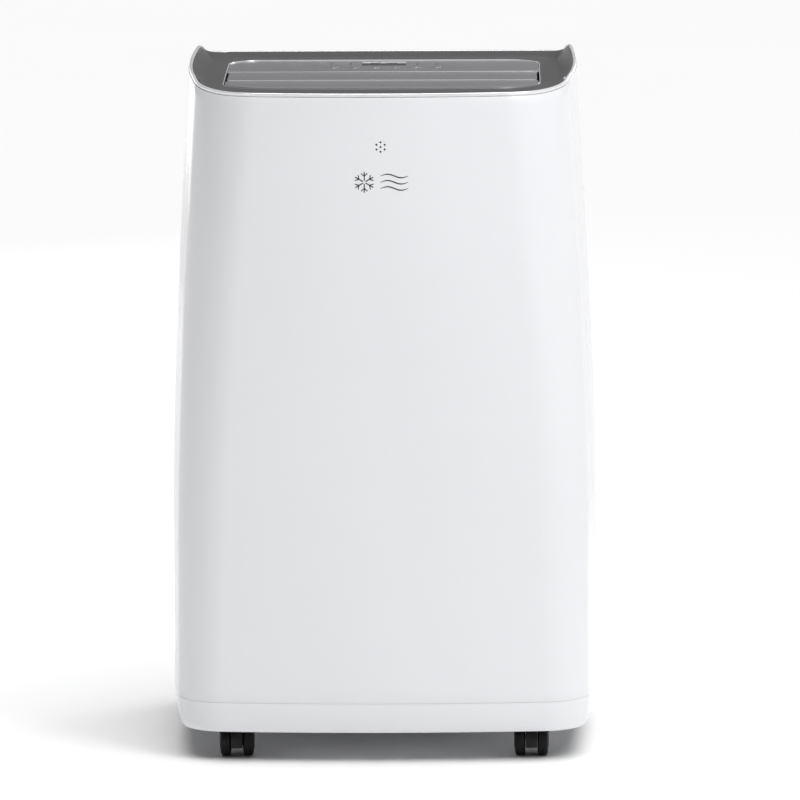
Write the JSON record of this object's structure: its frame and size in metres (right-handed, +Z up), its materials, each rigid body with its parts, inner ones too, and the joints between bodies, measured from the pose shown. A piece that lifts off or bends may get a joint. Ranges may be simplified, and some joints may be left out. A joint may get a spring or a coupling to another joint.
{
  "type": "portable air conditioner",
  "caption": "White floor-standing air conditioner on twin-wheel casters, with a dished grey deck, a two-blade top louvre, flush keys, rear grilles and a round hot-air outlet.",
  "frame": {"origin": "on the floor under the middle of the object", "axes": "+Z up along the longest extent; the front face looks along -Y; +X to the right of someone facing the front"},
  "size_m": [0.4328, 0.34, 0.6943],
  "materials": {
    "shell_white": "gloss white moulded plastic",
    "deck_grey": "satin metallic grey",
    "trim_silver": "bright silver",
    "display_dark": "dark glossy window",
    "key_grey": "satin grey",
    "board_green": "printed circuit board",
    "inner_grey": "dark grey matt plastic",
    "mesh_grey": "fine mesh",
    "steel": "plated steel",
    "fin_aluminium": "thin fins",
    "compressor_black": "black enamel",
    "rubber_black": "matt rubber",
    "pipe_copper": "bare copper",
    "caster_black": "black nylon"
  },
  "bodies": {
    "root": {"base_pan": "shell_white", "front_panel": "shell_white", "rear_casing": "shell_white", "exhaust_collar": "shell_white", "handle_left": "shell_white", "handle_right": "shell_white", "cord_cleats": "shell_white", "top_deck": "deck_grey", "control_panel": "deck_grey", "deck_trim": "trim_silver", "display_window": "display_dark", "control_board": "board_green", "outlet_throat": "inner_grey", "upper_scroll": "inner_grey", "lower_scroll": "inner_grey", "partition_tray": "inner_grey", "cord_gland": "inner_grey", "casing_screws": "steel", "swing_motor": "steel", "upper_fan_motor": "steel", "lower_fan_motor": "steel", "electrical_box": "steel", "evaporator_coil": "fin_aluminium", "condenser_coil": "fin_aluminium", "compressor": "compressor_black", "compressor_grommets": "rubber_black", "refrigerant_pipes": "pipe_copper"},
    "louvre_rear": {"louvre_rear_blade": "deck_grey"},
    "louvre_front": {"louvre_front_blade": "deck_grey"},
    "louvre_link": {"louvre_link": "inner_grey"},
    "upper_filter": {"upper_filter_frame": "shell_white", "upper_filter_mesh": "mesh_grey"},
    "lower_filter": {"lower_grille": "shell_white", "lower_filter_mesh": "mesh_grey"},
    "upper_fan": {"upper_fan_wheel": "inner_grey"},
    "lower_fan": {"lower_fan_wheel": "inner_grey"},
    "upper_drain": {"drain_cap_upper": "inner_grey"},
    "lower_drain": {"drain_cap_lower": "inner_grey"},
    "key_power": {"key_power": "key_grey"},
    "key_mode": {"key_mode": "key_grey"},
    "key_fan": {"key_fan": "key_grey"},
    "key_down": {"key_down": "key_grey"},
    "key_up": {"key_up": "key_grey"},
    "key_timer": {"key_timer": "key_grey"},
    "caster_fl": {"caster_fl_hood": "caster_black", "caster_fl_axle": "steel"},
    "caster_fl_left": {"caster_fl_wheel_left": "caster_black"},
    "caster_fl_right": {"caster_fl_wheel_right": "caster_black"},
    "caster_fr": {"caster_fr_hood": "caster_black", "caster_fr_axle": "steel"},
    "caster_fr_left": {"caster_fr_wheel_left": "caster_black"},
    "caster_fr_right": {"caster_fr_wheel_right": "caster_black"},
    "caster_rl": {"caster_rl_hood": "caster_black", "caster_rl_axle": "steel"},
    "caster_rl_left": {"caster_rl_wheel_left": "caster_black"},
    "caster_rl_right": {"caster_rl_wheel_right": "caster_black"},
    "caster_rr": {"caster_rr_hood": "caster_black", "caster_rr_axle": "steel"},
    "caster_rr_left": {"caster_rr_wheel_left": "caster_black"},
    "caster_rr_right": {"caster_rr_wheel_right": "caster_black"}
  },
  "joints": [
    {"name": "louvre_rear_swing", "type": "hinge", "parent": "root", "child": "louvre_rear", "pos_m": [0, -0.01405, 0.669], "axis": [-1, 0, 0], "range_deg": [0, 75]},
    {"name": "louvre_front_swing", "type": "hinge", "parent": "root", "child": "louvre_front", "pos_m": [0, -0.08335, 0.669], "axis": [-1, 0, 0], "range_deg": [0, 75]},
    {"name": "louvre_link_turn", "type": "hinge", "parent": "louvre_rear", "child": "louvre_link", "pos_m": [0, -0.01405, 0.656], "axis": [-1, 0, 0], "range_deg": [-75, 0]},
    {"name": "upper_filter_slide", "type": "slide", "parent": "root", "child": "upper_filter", "axis": [0, 1, 0], "range_m": [0, 0.12]},
    {"name": "lower_filter_slide", "type": "slide", "parent": "root", "child": "lower_filter", "axis": [0, 1, 0], "range_m": [0, 0.12]},
    {"name": "upper_fan_spin", "type": "hinge", "parent": "root", "child": "upper_fan", "pos_m": [0, 0, 0.515], "axis": [0, 1, 0], "continuous": true},
    {"name": "lower_fan_spin", "type": "hinge", "parent": "root", "child": "lower_fan", "pos_m": [-0.062, 0, 0.17], "axis": [0, 1, 0], "continuous": true},
    {"name": "upper_drain_pull", "type": "slide", "parent": "root", "child": "upper_drain", "axis": [0, 1, 0], "range_m": [0, 0.02]},
    {"name": "lower_drain_pull", "type": "slide", "parent": "root", "child": "lower_drain", "axis": [0, 1, 0], "range_m": [0, 0.02]},
    {"name": "key_power_press", "type": "slide", "parent": "root", "child": "key_power", "axis": [0, 0, -1], "range_m": [0, 0.0008], "stiffness_N_per_m": 300, "springref_m": -0.001},
    {"name": "key_mode_press", "type": "slide", "parent": "root", "child": "key_mode", "axis": [0, 0, -1], "range_m": [0, 0.0008], "stiffness_N_per_m": 300, "springref_m": -0.001},
    {"name": "key_fan_press", "type": "slide", "parent": "root", "child": "key_fan", "axis": [0, 0, -1], "range_m": [0, 0.0008], "stiffness_N_per_m": 300, "springref_m": -0.001},
    {"name": "key_down_press", "type": "slide", "parent": "root", "child": "key_down", "axis": [0, 0, -1], "range_m": [0, 0.0008], "stiffness_N_per_m": 300, "springref_m": -0.001},
    {"name": "key_up_press", "type": "slide", "parent": "root", "child": "key_up", "axis": [0, 0, -1], "range_m": [0, 0.0008], "stiffness_N_per_m": 300, "springref_m": -0.001},
    {"name": "key_timer_press", "type": "slide", "parent": "root", "child": "key_timer", "axis": [0, 0, -1], "range_m": [0, 0.0008], "stiffness_N_per_m": 300, "springref_m": -0.001},
    {"name": "caster_fl_swivel", "type": "hinge", "parent": "root", "child": "caster_fl", "pos_m": [-0.149, -0.116, 0], "axis": [0, 0, 1], "continuous": true},
    {"name": "caster_fl_left_spin", "type": "hinge", "parent": "caster_fl", "child": "caster_fl_left", "pos_m": [-0.149, -0.125, 0.018], "axis": [1, 0, 0], "continuous": true},
    {"name": "caster_fl_right_spin", "type": "hinge", "parent": "caster_fl", "child": "caster_fl_right", "pos_m": [-0.149, -0.125, 0.018], "axis": [1, 0, 0], "continuous": true},
    {"name": "caster_fr_swivel", "type": "hinge", "parent": "root", "child": "caster_fr", "pos_m": [0.149, -0.116, 0], "axis": [0, 0, 1], "continuous": true},
    {"name": "caster_fr_left_spin", "type": "hinge", "parent": "caster_fr", "child": "caster_fr_left", "pos_m": [0.149, -0.125, 0.018], "axis": [1, 0, 0], "continuous": true},
    {"name": "caster_fr_right_spin", "type": "hinge", "parent": "caster_fr", "child": "caster_fr_right", "pos_m": [0.149, -0.125, 0.018], "axis": [1, 0, 0], "continuous": true},
    {"name": "caster_rl_swivel", "type": "hinge", "parent": "root", "child": "caster_rl", "pos_m": [-0.149, 0.114, 0], "axis": [0, 0, 1], "continuous": true},
    {"name": "caster_rl_left_spin", "type": "hinge", "parent": "caster_rl", "child": "caster_rl_left", "pos_m": [-0.149, 0.105, 0.018], "axis": [1, 0, 0], "continuous": true},
    {"name": "caster_rl_right_spin", "type": "hinge", "parent": "caster_rl", "child": "caster_rl_right", "pos_m": [-0.149, 0.105, 0.018], "axis": [1, 0, 0], "continuous": true},
    {"name": "caster_rr_swivel", "type": "hinge", "parent": "root", "child": "caster_rr", "pos_m": [0.149, 0.114, 0], "axis": [0, 0, 1], "continuous": true},
    {"name": "caster_rr_left_spin", "type": "hinge", "parent": "caster_rr", "child": "caster_rr_left", "pos_m": [0.149, 0.105, 0.018], "axis": [1, 0, 0], "continuous": true},
    {"name": "caster_rr_right_spin", "type": "hinge", "parent": "caster_rr", "child": "caster_rr_right", "pos_m": [0.149, 0.105, 0.018], "axis": [1, 0, 0], "continuous": true}
  ],
  "couplings": [
    {"joint": "louvre_front_swing", "follows": "louvre_rear_swing", "ratio": 1},
    {"joint": "louvre_link_turn", "follows": "louvre_rear_swing", "ratio": -1}
  ]
}
